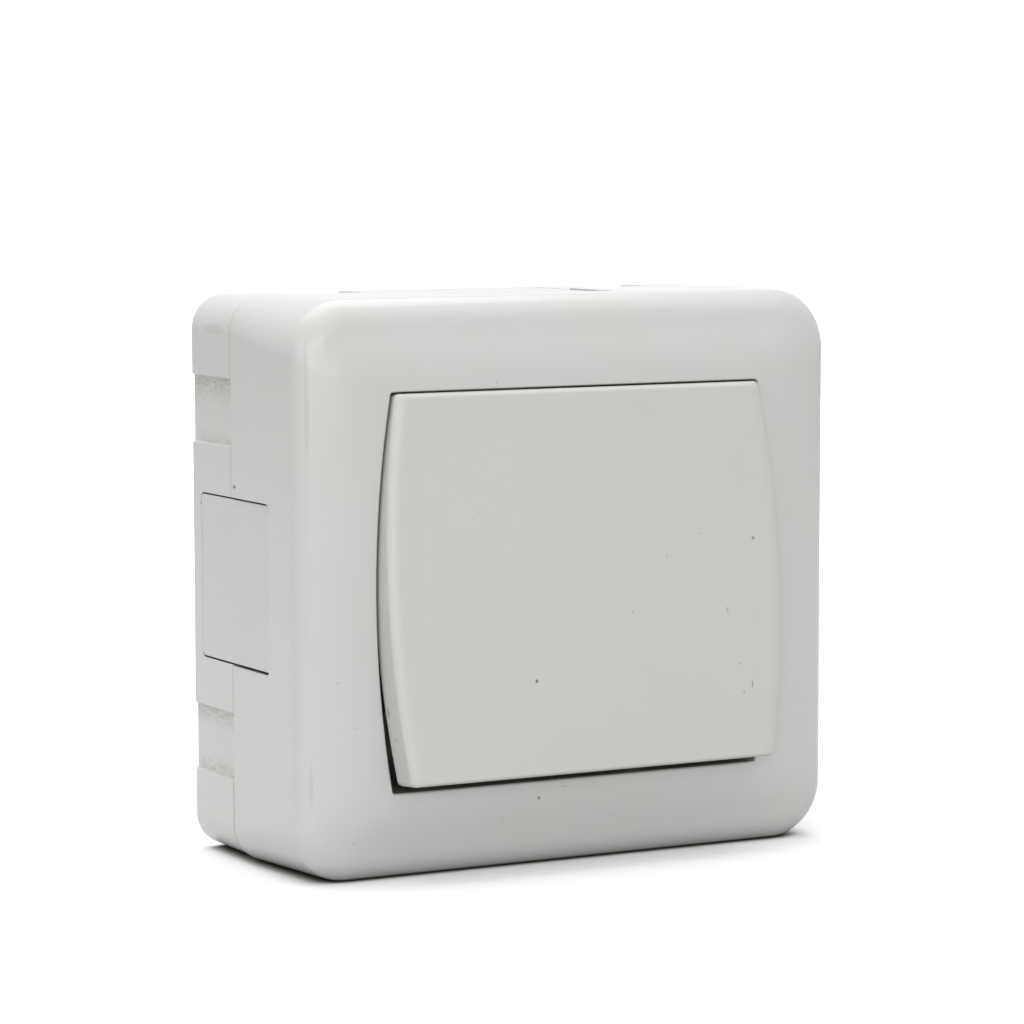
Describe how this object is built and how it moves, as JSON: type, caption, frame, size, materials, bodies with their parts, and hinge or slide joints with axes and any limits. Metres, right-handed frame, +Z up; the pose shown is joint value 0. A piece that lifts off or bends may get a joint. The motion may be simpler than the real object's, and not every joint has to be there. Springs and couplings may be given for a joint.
{
  "type": "surface-mounted light switch",
  "caption": "Surface-mounted rocker light switch with a crowned square housing, side cable entries and a changeover contact mechanism inside.",
  "frame": {"origin": "centre of the flat rear face that lies on the wall", "axes": "+Y into the wall, -Y out of the front, +Z up as mounted, +X to the right seen from the front"},
  "size_m": [0.087, 0.0436, 0.082],
  "materials": {
    "enclosure": "glossy off-white moulding",
    "entry": "semi-gloss off-white moulding",
    "button": "satin off-white moulding, a little warmer",
    "mechanism": "satin grey moulding",
    "cradle": "satin light grey moulding",
    "slider": "natural low-friction plastic",
    "spring": "bright spring wire",
    "screw": "zinc plated",
    "brass": "stamped brass",
    "copper": "stamped copper strip",
    "silver": "silver contact metal"
  },
  "bodies": {
    "enclosure": {"mounting_base": "enclosure", "front_cover": "enclosure", "cable_entry_left": "entry", "cable_entry_right": "entry", "cable_entry_top": "entry", "cable_entry_bottom": "entry", "mechanism_housing": "mechanism", "fixing_screw_left": "screw", "fixing_screw_right": "screw", "common_terminal": "brass", "upper_terminal": "brass", "lower_terminal": "brass", "terminal_screw_common": "screw", "terminal_screw_upper": "screw", "terminal_screw_lower": "screw", "clamp_plate_common": "screw", "clamp_plate_upper": "screw", "clamp_plate_lower": "screw", "fixed_contact_upper": "silver", "fixed_contact_lower": "silver"},
    "button": {"rocker": "button", "rocker_cradle": "cradle", "plunger_spring": "spring"},
    "plunger": {"plunger": "slider"},
    "lever": {"contact_lever": "copper", "moving_contact_upper": "silver", "moving_contact_lower": "silver"}
  },
  "joints": [
    {"name": "rocker_hinge", "type": "hinge", "parent": "enclosure", "child": "button", "pos_m": [0, -0.0333, 0], "axis": [1, 0, 0], "range_deg": [0, 10.1]},
    {"name": "plunger_slide", "type": "slide", "parent": "button", "child": "plunger", "axis": [0, 0.9961, -0.088], "range_m": [-0.0006, 0], "stiffness_N_per_m": 400, "springref_m": 0.0012, "deforming": ["plunger_spring"]},
    {"name": "lever_hinge", "type": "hinge", "parent": "enclosure", "child": "lever", "pos_m": [0, -0.0201, 0], "axis": [1, 0, 0], "range_deg": [-17, 0]}
  ],
  "couplings": [
    {"joint": "lever_hinge", "follows": "rocker_hinge", "ratio": -1.683}
  ]
}
